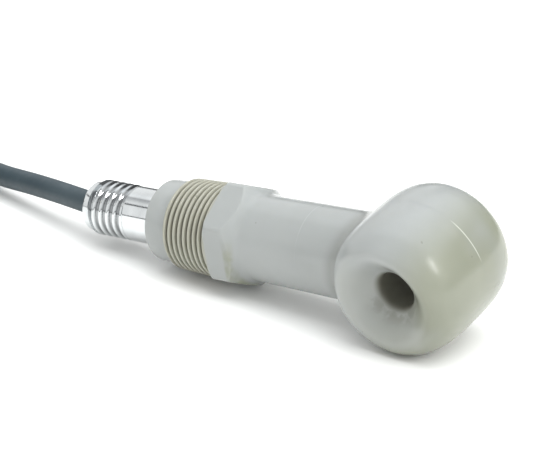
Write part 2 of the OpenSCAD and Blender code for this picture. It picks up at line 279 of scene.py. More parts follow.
def surface_net(field, low, high, cell):
    """Points and quads of the surface where the field, in mm, is zero. The field is negative
    inside. One point is placed in each cell that the surface crosses, and then moved onto it."""
    axes = [np.arange(a, b + cell, cell) for a, b in zip(low, high)]
    shape = tuple(len(a) for a in axes)
    value = np.empty(shape)
    for i, x in enumerate(axes[0]):
        y, z = np.meshgrid(axes[1], axes[2], indexing="ij")
        slab = np.stack([np.full(y.size, x), y.ravel(), z.ravel()], -1)
        value[i] = field(slab).reshape(shape[1:])
    inside = value < 0
    total = np.zeros(tuple(n - 1 for n in shape) + (3,))
    count = np.zeros(tuple(n - 1 for n in shape))
    for axis in range(3):
        first = [slice(None)] * 3
        second = [slice(None)] * 3
        first[axis], second[axis] = slice(None, -1), slice(1, None)
        v0, v1 = value[tuple(first)], value[tuple(second)]
        crossed = (v0 < 0) != (v1 < 0)
        t = np.where(crossed, v0 / np.where(crossed, v0 - v1, 1.0), 0.0)
        others = [k for k in range(3) if k != axis]
        for du in (0, 1):
            for dv in (0, 1):
                part = [slice(None)] * 3
                part[others[0]] = slice(du, shape[others[0]] - 1 + du)
                part[others[1]] = slice(dv, shape[others[1]] - 1 + dv)
                hit = crossed[tuple(part)]
                count += hit
                total[..., axis] += np.where(hit, t[tuple(part)], 0.0)
                total[..., others[0]] += hit * du
                total[..., others[1]] += hit * dv
    active = count > 0
    number = np.full(active.shape, -1)
    number[active] = np.arange(active.sum())
    cells = np.argwhere(active)
    points = np.array(low) + (cells + total[active] / count[active][:, None]) * cell
    quads = []
    for axis in range(3):
        u, v = [(1, 2), (2, 0), (0, 1)][axis]
        first = [slice(1, -1)] * 3
        second = [slice(1, -1)] * 3
        first[axis], second[axis] = slice(None, -1), slice(1, None)
        a, b = inside[tuple(first)], inside[tuple(second)]
        at = np.argwhere(a != b)
        if not len(at):
            continue
        leaving = a[tuple(at.T)]
        at = at + np.array([0 if k == axis else 1 for k in range(3)])
        step_u, step_v = np.eye(3, dtype=int)[u], np.eye(3, dtype=int)[v]
        ring = [at - step_u - step_v, at - step_v, at, at - step_u]
        quad = np.stack([number[tuple(r.T)] for r in ring], -1)
        quads.append(np.where(leaving[:, None], quad, quad[:, ::-1]))
    return settle(field, points), np.concatenate(quads)


def settle(field, points, rounds=4, probe=0.02):
    """Moves each point along the field's slope until it lies on the surface."""
    for _ in range(rounds):
        value = field(points)
        slope = np.empty_like(points)
        for axis in range(3):
            step = np.zeros(3)
            step[axis] = probe
            slope[:, axis] = (field(points + step) - field(points - step)) / (2 * probe)
        steep = np.maximum((slope**2).sum(1), 0.05)
        move = slope * (value / steep)[:, None]
        points = points - np.clip(move, -0.3, 0.3)
    return points


def blend_union(a, b, radius):
    """The union of two fields, with a fillet of about this radius where they meet."""
    h = np.maximum(radius - np.abs(a - b), 0.0) / radius
    return np.minimum(a, b) - h * h * radius / 4


def round_overlap(a, b, radius):
    """The overlap of two fields, with its edges rounded to about this radius."""
    return -blend_union(-a, -b, radius)


def barrel_y(r):
    return BARREL_HALF * (1 - (r / HEAD_R) ** BARREL_POWER) ** (1 / BARREL_POWER)


def head_edge():
    """Half of the head's outline, as (radius, y): barrel, one smooth lip and funnel, rim."""
    turn = math.atan((barrel_y(LIP_FROM_R - 0.01) - barrel_y(LIP_FROM_R + 0.01)) / 0.02)
    last = math.acos((LIP_FROM_R / HEAD_R) ** (BARREL_POWER / 2))
    power = 2 / BARREL_POWER
    edge = []
    for k in range(33):
        a = last * k / 32
        edge.append((HEAD_R * math.cos(a) ** power, BARREL_HALF * math.sin(a) ** power))
    rim = []
    for k in range(9):
        a = (math.pi / 2 - FUNNEL_TURN) * (1 - k / 8)
        rim.append((HOLE_R + RIM_R * (1 - math.cos(a)), THROAT + RIM_R * math.sin(a)))
    first, second = np.array(edge[-1]), np.array(rim[0])
    lip_pull = first + LIP_REACH * np.array([-math.cos(turn), math.sin(turn)])
    funnel_pull = second + FUNNEL_REACH * np.array([math.cos(FUNNEL_TURN), math.sin(FUNNEL_TURN)])
    for t in np.linspace(0, 1, 26)[1:-1]:
        edge.append(tuple((1 - t) ** 3 * first + 3 * t * (1 - t) ** 2 * lip_pull
                          + 3 * t * t * (1 - t) * funnel_pull + t**3 * second))
    return np.array(edge + rim + [(HOLE_R, 0.0)])


HEAD_EDGE = head_edge()


def head_field(points):
    """Distance from the head's surface, from its outline in the plane of radius and |y|."""
    q = np.stack([np.hypot(points[:, 0], points[:, 2]), np.abs(points[:, 1])], -1)
    best = np.full(len(q), 1e9)
    crossings = np.zeros(len(q), int)
    for a, b in zip(HEAD_EDGE[:-1], HEAD_EDGE[1:]):
        run = b - a
        t = np.clip(((q - a) @ run) / (run @ run), 0.0, 1.0)
        best = np.minimum(best, ((q - a - t[:, None] * run) ** 2).sum(1))
        spans = (a[1] > q[:, 1]) != (b[1] > q[:, 1])
        across = a[0] + (q[:, 1] - a[1]) * run[0] / (run[1] if run[1] else 1e-9)
        crossings += spans & (q[:, 0] < across)
    return np.where(crossings % 2 == 1, -1.0, 1.0) * np.sqrt(best)


def stem_radius(back):
    share = (HEX_FRONT - back) / (HEX_FRONT - FLARE_START)
    return STEM_HEX_R + (STEM_HEAD_R - STEM_HEX_R) * np.clip(share, 0, 1.2)


def front_field(points):
    """The head and the stub of the stem, with a fillet between them, and no hollows."""
    back = -points[:, 0]
    r = np.hypot(points[:, 1], points[:, 2])
    stub = np.maximum(r - stem_radius(back), np.maximum(STUB_REACH - back, back - SEAM - 2.0))
    hole = HOLE_R + 2.0 - np.hypot(points[:, 0], points[:, 2])
    stub = np.maximum(stub, hole)
    return blend_union(head_field(points), stub, STUB_FILLET)


# ---------------------------------------------------------------- head


def head_cutters():
    """The hollows inside the head and the stub: ring-shaped space, channel and socket."""
    ring = turned("cut_ring", [(TUBE_R, -CAVITY_HALF), (CAVITY_R, -CAVITY_HALF),
                               (CAVITY_R, CAVITY_HALF), (TUBE_R, CAVITY_HALF)], axis="y")
    channel = rod_cutter("cut_channel", CHANNEL_END, SEAM + 5, CHANNEL_R)
    socket = rod_cutter("cut_socket", SEAM - SPIGOT_LEN, SEAM + 5, SPIGOT_R)
    combine(channel, socket, "UNION")
    combine(ring, channel, "UNION")
    return ring


def rod_cutter(name, front, back, radius, columns=96):
    """A plain rod along the stem with flat ends, used only as a cutter."""
    angle = np.linspace(0, 2 * math.pi, columns, endpoint=False)
    circle = np.stack([radius * np.cos(angle), radius * np.sin(angle)], -1)
    points = [(-s, y, z) for s in (front, back) for y, z in circle]
    faces = [list(range(columns)), list(range(2 * columns - 1, columns - 1, -1))]
    faces += grid_faces(2, columns, False).tolist()
    piece = mesh_piece(name, points, faces, smooth=False)
    outwards(piece)
    return piece


def build_head():
    low, high = (-36.5, -21.5, -21.5), (21.5, 21.5, 21.5)
    points, quads = surface_net(front_field, low, high, HEAD_CELL)
    shell = mesh_piece("head_shell_skin", points, quads)
    outwards(shell)
    combine(shell, block("cut_seam", (-SEAM, -30, -30), (30, 30, 30)), "INTERSECT")
    combine(shell, head_cutters(), "DIFFERENCE")
    cap = shell.copy()
    cap.data = shell.data.copy()
    cap.name = "head_cap_skin"
    bpy.context.scene.collection.objects.link(cap)
    back_half = block("cut_back", (-40, SPLIT_Y, -30), (30, 30, 30))
    combine(back_half, rod_cutter("cut_stub", STUB_END, 45, STUB_R), "DIFFERENCE")
    inner = turned("cut_tube", [(1.0, -2.0), (TUBE_R, -2.0), (TUBE_R, THROAT), (1.0, THROAT)],
                   axis="y")
    combine(back_half, inner, "DIFFERENCE")
    second = back_half.copy()
    second.data = back_half.data.copy()
    bpy.context.scene.collection.objects.link(second)
    combine(shell, back_half, "DIFFERENCE")
    combine(cap, second, "INTERSECT")
    for piece in (shell, cap):
        sharpen(piece, 40)
    return shell, cap


# ---------------------------------------------------------------- rear body


def hexagon_field(points):
    """The hexagon: flats, rounded corners, and a bevel in front at 45 degrees to the stem."""
    back = -points[:, 0]
    y, z = points[:, 1], points[:, 2]
    r = np.hypot(y, z)
    flats = None
    for k in range(3):
        a = math.radians(60 * k - HEX_CLOCK)
        side = np.abs(y * math.cos(a) + z * math.sin(a)) - HEX_HALF_AF
        flats = side if flats is None else round_overlap(flats, side, FLAT_EDGE_R)
    bevel = (r - HEX_CORNER_R + HEX_FRONT - back) * math.sqrt(0.5)
    broken = (r - HEX_CORNER_R + 1.1 * (back - HEX_BACK + 0.8)) / 1.49
    body = round_overlap(flats, np.maximum(r - HEX_CORNER_R, broken), CORNER_EDGE_R)
    body = round_overlap(body, bevel, BEVEL_EDGE_R)
    return round_overlap(body, back - HEX_BACK, BACK_EDGE_R)


def rear_field(points):
    """The stem's back part and the hexagon, with a small fillet between them."""
    back = -points[:, 0]
    r = np.hypot(points[:, 1], points[:, 2])
    stem = np.maximum(r - stem_radius(back), np.maximum(SEAM - 3.0 - back, back - HEX_BACK + 1.0))
    return blend_union(stem, hexagon_field(points), HEX_FILLET)


def npt_radius(back, angle):
    """Radius over the taper thread: rounded crests and narrow roots on a right-hand helix,
    fading in at the collar and out at the hexagon."""
    crest = NPT_CREST_R - (back - HEX_BACK) * NPT_TAPER
    phase = (back / NPT_PITCH - angle / (2 * math.pi)) % 1.0
    groove = np.abs(phase - 0.5) * 2
    shape = smoothstep((groove - NPT_CREST_SHARE) / (1 - NPT_CREST_SHARE))
    depth = NPT_DEPTH * smoothstep((back - HEX_BACK) / (0.9 * NPT_PITCH))
    start = smoothstep((NPT_BACK - back) / (0.8 * NPT_PITCH))
    root = crest - NPT_DEPTH
    return (crest - depth * shape - root) * start + root


def thread_and_collar():
    """The taper thread, the collar and the sleeve inside the stem that carries them."""
    columns = 160
    angle = np.linspace(0, 2 * math.pi, columns, endpoint=False)
    outline = [(CHANNEL_R, SEAM - SPIGOT_LEN), (SPIGOT_R, SEAM - SPIGOT_LEN),
               (SPIGOT_R, HEX_BACK - 0.9)]
    for back in np.arange(HEX_BACK - 0.4, NPT_BACK, 0.1):
        outline.append((npt_radius(np.full(columns, back), angle), back))
    outline += [(COLLAR_R, NPT_BACK + 0.05), (COLLAR_R, BODY_BACK - 0.6),
                (COLLAR_R - 0.08, BODY_BACK - 0.3), (COLLAR_R - 0.3, BODY_BACK - 0.08),
                (COLLAR_R - 0.6, BODY_BACK), (LAND_R, BODY_BACK), (LAND_R, FLANGE_BACK),
                (CHANNEL_R, FLANGE_BACK)]
    return turned("thread", outline, columns=columns)


def build_rear_body():
    low, high = (-64.0, -16.2, -16.2), (-29.0, 16.2, 16.2)
    points, quads = surface_net(rear_field, low, high, REAR_CELL)
    body = mesh_piece("rear_body_skin", points, quads)
    outwards(body)
    combine(body, block("cut_seam", (-80, -30, -30), (-SEAM, 30, 30)), "INTERSECT")
    combine(body, rod_cutter("cut_channel", SEAM - 5, 90, CHANNEL_R), "DIFFERENCE")
    combine(body, thread_and_collar(), "UNION")
    sharpen(body, 40)
    return body


# ---------------------------------------------------------------- nipple


def nipple_radius(back, angle):
    """Radius over the nipple's coarse thread, which fades out at both ends."""
    phase = ((back - SHANK_BACK) / NIPPLE_PITCH - angle / (2 * math.pi)) % 1.0
    groove = smoothstep((0.46 - np.abs(phase - 0.46)) / 0.42)
    fade = smoothstep((back - SHANK_BACK - 0.1) / 0.9)
    fade = fade * smoothstep((NIPPLE_THREAD_BACK + 0.4 - back) / 0.9)
    return NIPPLE_R - NIPPLE_DEPTH * groove * fade


def build_nipple():
    columns = 160
    angle = np.linspace(0, 2 * math.pi, columns, endpoint=False)
    outline = [(GLAND_R, FLANGE_FRONT), (CHANNEL_R, FLANGE_FRONT), (CHANNEL_R, FLANGE_BACK),
               (LAND_R, FLANGE_BACK), (LAND_R, BODY_BACK), (NIPPLE_R, BODY_BACK),
               (NIPPLE_R, BODY_BACK + 0.1)]
    outline += [(NIPPLE_R, s) for s in np.linspace(BODY_BACK + 0.5, SHANK_BACK - 0.2, 12)]
    for back in np.arange(SHANK_BACK, NIPPLE_THREAD_BACK, 0.13):
        outline.append((nipple_radius(np.full(columns, back), angle), back))
    end = NIPPLE_THREAD_BACK
    for k in range(5):
        a = math.pi / 2 * k / 4
        outline.append((NECK_R + (NIPPLE_R - NECK_R) * math.cos(a), end + 0.7 * math.sin(a)))
    for k in range(6):
        a = math.pi / 2 * k / 5
        outline.append((NECK_R - 0.5 + 0.5 * math.cos(a), NIPPLE_BACK - 0.5 + 0.5 * math.sin(a)))
    outline += [(MOUTH_R + 0.25, NIPPLE_BACK), (MOUTH_R, NIPPLE_BACK - 0.25),
                (MOUTH_R, GROMMET_BACK), (GLAND_R, GROMMET_BACK)]
    piece = turned("nipple_turned", outline, columns=columns)
    sharpen(piece, 40)
    return piece


# ---------------------------------------------------------------- lead

# The lead's points are in mm in the frame's own axes, down to the floor and on to the coil
LEAD_R = 3.35
LEAD_ROUTE = [
    (-66, 0, 10.6), (-70, 0.4, 10.4), (-76, 1.4, 10), (-83, 2.8, 9.4), (-90, 4.2, 8.7),
    (-97, 5.7, 7.9), (-104, 7.1, 7), (-111, 8.4, 6.2), (-118, 10, 5.6), (-125, 12, 5),
    (-133, 14.8, 4.5), (-141, 18, 4.1), (-149, 21.4, 3.9), (-157, 24.8, 4), (-165, 28.1, 4.3),
]

# Coil, lying on its ties: four turns side by side in each of six layers
STRAP_T = 1.0
COIL_AT = np.array([-183.5, -17.9])
TURN_R = 39.5
COLUMNS = 4
LAYERS = 6
LEAD_IN_ANGLE = 68.0
LAST_ANGLE = 297.0
STEPS_A_TURN = 60
CROSSING = 50.0
BOOT_FROM = 291.0
COIL_IN_R = TURN_R - COLUMNS * LEAD_R
COIL_OUT_R = TURN_R + COLUMNS * LEAD_R
OUTER_TURN_R = COIL_OUT_R - LEAD_R
COIL_TOP = STRAP_T + LAYERS * 2 * LEAD_R
TOP_LAYER = COIL_TOP - 2 * LEAD_R

# Ties, the boot at the end of the last turn, and the cores that leave it
TIE_ANGLES = (100, 180, 260)
TIE_W = 12.0
BOOT_R = 3.8
BOOT_LEN = 28.0
BOOT_AT_R = OUTER_TURN_R + 0.6
BOOT_ANGLE = 306.5
BOOT_Z = TOP_LAYER + BOOT_R
CORE_R = 0.75
CORE_SWEEP = 57.0
BARE_LEN = 8.0
CORES = ("white", "black", "red", "green", "blue", "yellow")


def smooth_route(points, steps=6):
    """Points on one smooth curve through the route's points."""
    p = np.array(points, float)
    p = np.vstack([2 * p[0] - p[1], p, 2 * p[-1] - p[-2]])
    out = []
    for k in range(1, len(p) - 2):
        a, b, c, d = p[k - 1:k + 3]
        for t in np.arange(steps) / steps:
            out.append(0.5 * (2 * b + (c - a) * t + (2 * a - 5 * b + 4 * c - d) * t**2
                              + (3 * b - a - 3 * c + d) * t**3))
    return out + [p[-2]]


def turn_place(turn):
    """Radius and height of a turn: each layer is wound across, and the next one back."""
    layer, step = divmod(turn, COLUMNS)
    column = step if layer % 2 else COLUMNS - 1 - step
    return (TURN_R + (column - (COLUMNS - 1) / 2) * 2 * LEAD_R,
            STRAP_T + LEAD_R + layer * 2 * LEAD_R)


def coil_points():
    """The coil's turns, each crossing over to the next one in its last few degrees."""
    turns = COLUMNS * LAYERS
    whole = 360.0 * (turns - 1) + LAST_ANGLE - LEAD_IN_ANGLE
    points = []
    for travelled in np.arange(360.0 / STEPS_A_TURN, whole, 360.0 / STEPS_A_TURN):
        turn, part = divmod(travelled, 360.0)
        turn = int(turn)
        r0, z0 = turn_place(turn)
        r1, z1 = turn_place(min(turn + 1, turns - 1))
        e = float(smoothstep((part - 360.0 + CROSSING) / CROSSING))
        a = math.radians(LEAD_IN_ANGLE + travelled)
        sway = 0.22 * math.sin(3 * a + 1.7 * turn) + 0.12 * math.sin(7 * a + 2.9 * turn)
        r = r0 + (r1 - r0) * e + sway
        z = z0 + (z1 - z0) * e
        if turn == turns - 1:
            free = float(smoothstep((LEAD_IN_ANGLE + part - BOOT_FROM + 20.0) / 20.0))
            short = min(abs(LEAD_IN_ANGLE + part - BOOT_ANGLE), BOOT_ANGLE - BOOT_FROM)
            boot_r = BOOT_AT_R / math.cos(math.radians(short))
            r, z = r + (boot_r - r) * free, z + (BOOT_Z - z) * free
        points.append((COIL_AT[0] + r * math.cos(a), COIL_AT[1] + r * math.sin(a), z))
    return points


def curve_piece(name, points, radius, sides=6):
    """A round tube along points in mm, as a curve of one open spline."""
    data = bpy.data.curves.new(name, "CURVE")
    data.dimensions = "3D"
    data.bevel_depth = radius * MM
    data.bevel_resolution = sides
    data.use_fill_caps = True
    spline = data.splines.new("POLY")
    spline.points.add(len(points) - 1)
    for point, place in zip(spline.points, points):
        point.co = (*(np.asarray(place, float) * MM), 1.0)
    spline.use_smooth = True
    return add_object(name, data)


def build_lead():
    points = smooth_route(LEAD_ROUTE)[:-1] + coil_points()
    run = np.array(points)
    length = float(np.linalg.norm(np.diff(run, axis=0), axis=1).sum())
    return curve_piece("signal_lead", points, LEAD_R, 8), length


def rounded_box_path(width, height, radius, steps=8):
    """Points round a rectangle with rounded corners, centred at the origin."""
    path = []
    for k, (sx, sz) in enumerate(((1, -1), (1, 1), (-1, 1), (-1, -1))):
        for j in range(steps + 1):
            a = math.radians(-90 + 90 * k + 90 * j / steps)
            path.append((sx * (width / 2 - radius) + radius * math.cos(a),
                         sz * (height / 2 - radius) + radius * math.sin(a)))
    return path


def build_ties():
    """Three hook-and-loop ties, each a band round all the turns."""
    inner, outer = COIL_IN_R - 0.7, COIL_OUT_R + 0.1
    points, faces = [], []
    for angle in TIE_ANGLES:
        a = math.radians(angle)
        out, along = np.array([math.cos(a), math.sin(a)]), np.array([-math.sin(a), math.cos(a)])
        middle = (inner + outer) / 2
        rings = []
        for grow, corner in ((0.0, 2.2), (STRAP_T - 0.03, 3.2)):
            rings.append(rounded_box_path(outer - inner + 2 * grow,
                                          COIL_TOP - STRAP_T + 2 * grow, corner))
        count = len(rings[0])
        first = len(points)
        edge = TIE_W / 2
        for ring, side in ((0, -edge), (1, -edge + 0.25), (1, edge - 0.25), (0, edge)):
            for x, z in rings[ring]:
                at = COIL_AT + (middle + x) * out + side * along
                points.append((at[0], at[1], (COIL_TOP + STRAP_T) / 2 + z))
        for row in range(4):
            for j in range(count):
                k = (j + 1) % count
                p, q = first + row * count, first + (row + 1) % 4 * count
                faces.append((p + j, p + k, q + k, q + j))
    piece = mesh_piece("ties_woven", points, faces, on_probe=False)
    outwards(piece)
    sharpen(piece, 50)
    return piece


def welded_piece(name, points, faces):
    """A mesh object in the frame's own axes, whose points in one place become one."""
    piece = mesh_piece(name, points, faces, on_probe=False)
    build = bmesh.new()
    build.from_mesh(piece.data)
    bmesh.ops.remove_doubles(build, verts=build.verts, dist=1e-7)
    build.to_mesh(piece.data)
    build.free()
    outwards(piece)
    sharpen(piece, 50)
    return piece


def build_boot():
    """A heat-shrunk boot, narrower where it grips the jacket and with a rolled end."""
    a = math.radians(BOOT_ANGLE)
    out, along = np.array([math.cos(a), math.sin(a)]), np.array([-math.sin(a), math.cos(a)])
    half = BOOT_LEN / 2
    outline = [(0.0, -half), (3.4, -half), (3.55, -half + 0.25), (3.6, -half + 0.8)]
    for s in np.linspace(-half + 1.5, half - 4.0, 16):
        outline.append((3.66 + 0.1 * math.sin(0.9 * s) * math.cos(0.37 * s), s))
    outline += [(3.72, half - 2.5), (3.76, half - 1.0), (3.7, half - 0.4), (3.45, half),
                (0.0, half)]
    columns = 32
    points = []
    for r, s in outline:
        for k in range(columns):
            turn = 2 * math.pi * k / columns
            at = COIL_AT + (BOOT_AT_R + r * math.cos(turn)) * out + s * along
            points.append((at[0], at[1], BOOT_Z + r * math.sin(turn)))
    faces = grid_faces(len(outline), columns, False).tolist()
    return welded_piece("boot_shrunk", points, faces)


def core_points(k, steps=40):
    """Core k eases from its place in the boot to its own place beside the others."""
    start = BOOT_ANGLE + math.degrees(math.atan(BOOT_LEN / 2 / BOOT_AT_R))
    start_r = math.hypot(BOOT_AT_R, BOOT_LEN / 2)
    offset = (k % 4 - 1.8) * 1.65 + (0 if k < 4 else 0.825)
    height = CORE_R + (0 if k < 4 else 1.5 * CORE_R)
    bunch = 0.0 if k == 6 else 2.1
    turn = math.radians(60 * k)
    points = []
    for t in np.linspace(0, 1, steps + 1):
        e = t * t * (3 - 2 * t)
        a = math.radians(start + CORE_SWEEP * t)
        r = (start_r + bunch * math.cos(turn)) * (1 - e) + (OUTER_TURN_R + offset) * e
        z = (BOOT_Z + bunch * math.sin(turn)) * (1 - e) + (TOP_LAYER + height) * e
        points.append((COIL_AT[0] + r * math.cos(a), COIL_AT[1] + r * math.sin(a), z))
    return points


def build_ferrules():
    """A crimped pin on each core: a round pin with four crimp dents and a chamfered tip."""
    points, faces = [], []
    columns = 16
    outline = [(0.0, 0.0), (0.58, 0.0), (0.6, 0.1), (0.6, 1.0)]
    for dent in (2.0, 3.4, 4.8, 6.2):
        outline += [(0.6, dent - 0.4), (0.53, dent - 0.2), (0.53, dent + 0.2), (0.6, dent + 0.4)]
    outline += [(0.6, BARE_LEN - 0.3), (0.45, BARE_LEN), (0.0, BARE_LEN)]
    for k in range(len(CORES) + 1):
        last = [np.array(p) for p in core_points(k)[-2:]]
        run = (last[1] - last[0]) / np.linalg.norm(last[1] - last[0])
        side = np.cross(run, (0, 0, 1))
        side /= np.linalg.norm(side)
        up = np.cross(side, run)
        first = len(points)
        for r, s in outline:
            for j in range(columns):
                turn = 2 * math.pi * j / columns
                points.append(last[1] + s * run + r * (math.cos(turn) * side
                                                       + math.sin(turn) * up))
        faces += (grid_faces(len(outline), columns, False) + first).tolist()
    return welded_piece("pins_crimped", points, faces)


# ---------------------------------------------------------------- materials

COOL_DARK = (0.290, 0.303, 0.296)
COOL_LIGHT = (0.320, 0.334, 0.328)
# Yellower, darker tones: partly yellowing and partly painted shade low on the head's right, and
# painted shade on the hexagon's lower bevel
WARM_SHADE_DARK = (0.215, 0.225, 0.174)
WARM_SHADE_LIGHT = (0.247, 0.257, 0.203)
# Painted light: the lighter colour of the lower left part of each face
FACE_LIGHT = (0.333, 0.344, 0.322)
# Painted shade: the darker colour of the crease where the stem meets the head
CREASE_SHADE = (0.20, 0.205, 0.19)
# The taper thread's tan cast, painted for the light bounced in its grooves
THREAD_CREST = (0.318, 0.315, 0.263)
# Painted shade: the dark colour deep in the thread's grooves
THREAD_GROOVE_SHADE = (0.085, 0.077, 0.055)
# The stain on the funnels below the hole, and the painted shade inside the hole
HOLE_STAIN_AND_SHADE = (0.15, 0.147, 0.12)
SPECK = (0.12, 0.11, 0.09)
# Painted highlight: the light line where the head's halves meet
JOINT_HIGHLIGHT = (0.62, 0.64, 0.55)
SEAM_LINE = (0.55, 0.57, 0.55)
# Painted shade in the nipple thread's roots, and a painted dark reflection along its top
THREAD_SHADE_AND_REFLECTION = (0.30, 0.31, 0.315)


class Graph:
    """The node tree of a material or of the world, with a short call for each kind of node. A
    value may be a number, a colour or another node's output. A share runs from 0 to 1."""

    def __init__(self, owner, shader):
        owner.use_nodes = True
        self.owner = owner
        self.tree = owner.node_tree
        self.shader = self.tree.nodes[shader]
        self.place = None

    def put(self, socket, value):
        if isinstance(value, bpy.types.NodeSocket):
            self.tree.links.new(value, socket)
        elif socket.type == "RGBA":
            socket.default_value = (*value, 1.0)
        else:
            socket.default_value = value

    def shade(self, inputs):
        """Sets these inputs of the shader, by name."""
        for name, value in inputs.items():
            self.put(self.shader.inputs[name], value)

    def node(self, kind, inputs, output, **settings):
        """Adds a node with these settings and inputs, and gives one of its outputs."""
        made = self.tree.nodes.new(kind)
        for name, value in settings.items():
            setattr(made, name, value)
        for name, value in inputs.items():
            self.put(made.inputs[name], value)
        return made.outputs[output]

    def split(self, vector):
        made = self.tree.nodes.new("ShaderNodeSeparateXYZ")
        self.put(made.inputs["Vector"], vector)
        return tuple(made.outputs)

    def math(self, operation, *values):
        return self.node("ShaderNodeMath", dict(enumerate(values)), "Value", operation=operation)

    def product(self, first, *others):
        for other in others:
            first = self.math("MULTIPLY", first, other)
        return first

    def length(self, a, b):
        return self.math("SQRT", self.math("ADD", self.product(a, a), self.product(b, b)))

    def noise(self, scale, detail=3.0, stretch=(1, 1, 1)):
        """A noise texture, stretched along the probe's axes."""
        place = self.node("ShaderNodeMapping", {"Vector": self.place, "Scale": stretch}, "Vector")
        return self.node("ShaderNodeTexNoise", {"Vector": place, "Scale": scale,
                                                "Detail": detail, "Roughness": 0.5}, "Fac")

    def ramp(self, share, dark, light, edges=(0.3, 0.7)):
        """Two colours, or two grey numbers, and all between them where the share lies between
        the edges."""
        made = self.tree.nodes.new("ShaderNodeValToRGB")
        for element, edge, colour in zip(made.color_ramp.elements, edges, (dark, light)):
            element.position = edge
            rgb = (colour,) * 3 if isinstance(colour, (int, float)) else colour
            element.color = (*rgb, 1.0)
        self.put(made.inputs["Fac"], share)
        return made.outputs["Color"]

    def bump(self, share, strength, distance, normal=None):
        inputs = {"Strength": strength, "Distance": distance * MM, "Height": share}
        if normal is not None:
            inputs["Normal"] = normal
        return self.node("ShaderNodeBump", inputs, "Normal")

    def fade(self, source, start, end):
        """Rises smoothly from 0 to 1 as the source goes from start to end."""
        return self.node("ShaderNodeMapRange", {"Value": source, "From Min": start,
                                                "From Max": end}, "Result",
                         interpolation_type="SMOOTHSTEP")

    def rise(self, distance, start, end):
        """Rises smoothly from 0 to 1 as the distance goes from start to end, in mm."""
        return self.fade(distance, start * MM, end * MM)

    def tint(self, share, first, second):
        """The first colour where the share is 0, and the second where it is 1."""
        return self.node("ShaderNodeMix", {0: share, 6: first, 7: second}, 2, data_type="RGBA")


def material_graph(name):
    """The nodes of a new material, whose textures lie in the probe's own axes, in metres."""
    graph = Graph(bpy.data.materials.new(name), "Principled BSDF")
    into_probe = PROBE.inverted()
    graph.place = graph.node("ShaderNodeMapping", {
        "Vector": graph.node("ShaderNodeTexCoord", {}, "Object"),
        "Location": into_probe.to_translation(),
        "Rotation": into_probe.to_euler()}, "Vector")
    return graph


def plastic(name, dark, light, rough=(0.3, 0.42), mottle=60.0, coat=0.0):
    """Moulded plastic: slow colour variation, fine grain and uneven gloss."""
    graph = material_graph(name)
    graph.shade({"Base Color": graph.ramp(graph.noise(mottle), dark, light),
                 "Roughness": graph.ramp(graph.noise(mottle * 5, 4), *rough),
                 "Normal": graph.bump(graph.noise(900.0, 2), 0.5, 0.02),
                 "Coat Weight": coat})
    return graph.owner


def turned_metal(graph, dark, light, rough):
    """Fine lines round the axis x, uneven polish and slight tarnish. Gives the colour."""
    lines = graph.noise(1.0, 3, stretch=(4000, 60, 60))
    graph.shade({"Metallic": 1.0,
                 "Roughness": graph.ramp(graph.noise(400.0, 4, stretch=(3, 1, 1)), *rough),
                 "Normal": graph.bump(lines, 0.6, 0.004)})
    return graph.ramp(graph.noise(150.0, 4), dark, light, (0.35, 0.65))


def metal(name, dark, light):
    graph = material_graph(name)
    graph.shade({"Base Color": turned_metal(graph, dark, light, (0.12, 0.25))})
    return graph.owner


def nipple_metal(name):
    """Turned stainless, darker in the roots of its thread as painted shade and along the top of the
    thread as a painted dark reflection.
    """
    graph = material_graph(name)
    clean = turned_metal(graph, (0.62, 0.64, 0.648), (0.725, 0.745, 0.753), (0.07, 0.14))
    x, y, z = graph.split(graph.place)
    # Painted shade: darker in the roots of the thread
    root = graph.rise(graph.length(y, z), NIPPLE_R - 0.1, NECK_R)
    on_thread = graph.product(graph.rise(x, 0.6 - SHANK_BACK, -0.4 - SHANK_BACK),
                              graph.rise(x, 0.2 - NIPPLE_THREAD_BACK, 0.8 - NIPPLE_THREAD_BACK))
    # Painted reflection: a dark band along the top of the thread
    dark_reflection = graph.product(graph.rise(z, 5.6, 7.0), graph.fade(graph.noise(300.0, 2), 0.2, 0.6), 0.75)
    share = graph.product(on_thread, graph.math("MAXIMUM", root, dark_reflection))
    graph.shade({"Base Color": graph.tint(share, clean, THREAD_SHADE_AND_REFLECTION)})
    return graph.owner


def woven(name, dark, light):
    """Hook-and-loop tape: a fine pile over a plain weave."""
    graph = material_graph(name)
    pile = graph.noise(2500.0, 4)
    weave = graph.bump(graph.noise(900.0, 1, stretch=(1, 1, 3)), 0.6, 0.3)
    graph.shade({"Base Color": graph.ramp(pile, dark, light),
                 "Roughness": 0.9,
                 "Sheen Weight": 0.4,
                 "Normal": graph.bump(pile, 0.6, 0.2, weave)})
    return graph.owner


def plastic_tone_and_shade(graph, x, z):
    """Cooler on the stem. Low on the head's right it is yellower and darker, partly yellowing and
    partly painted shade, and the hexagon's lower bevel gets the same darker yellow tint as painted
    shade.
    """
    tone = graph.noise(45.0)
    cool = graph.ramp(tone, COOL_DARK, COOL_LIGHT)
    warm_shade = graph.ramp(tone, WARM_SHADE_DARK, WARM_SHADE_LIGHT)
    # Yellower and darker low on the head's right: partly yellowing, partly painted shade
    lower_right = graph.math("SUBTRACT", graph.product(x, 0.85), graph.product(z, 0.5))
    yellowing_and_shade = graph.product(graph.rise(lower_right, -7, 10), graph.rise(x, -24, -12),
                         graph.fade(graph.noise(38.0, 2), 0.1, 0.5))
    # Painted shade: a darker yellow tint on the lower part of the hexagon's bevel
    bevel = graph.product(graph.rise(x, -HEX_FRONT - 1.2, -HEX_FRONT + 0.2),
                          graph.rise(x, -HEX_FRONT + 3.2, -HEX_FRONT + 1.5),
                          graph.fade(graph.noise(120.0), 0.35, 0.6), graph.rise(z, 7, 1))
    return graph.tint(graph.math("MAXIMUM", yellowing_and_shade, bevel), cool, warm_shade)


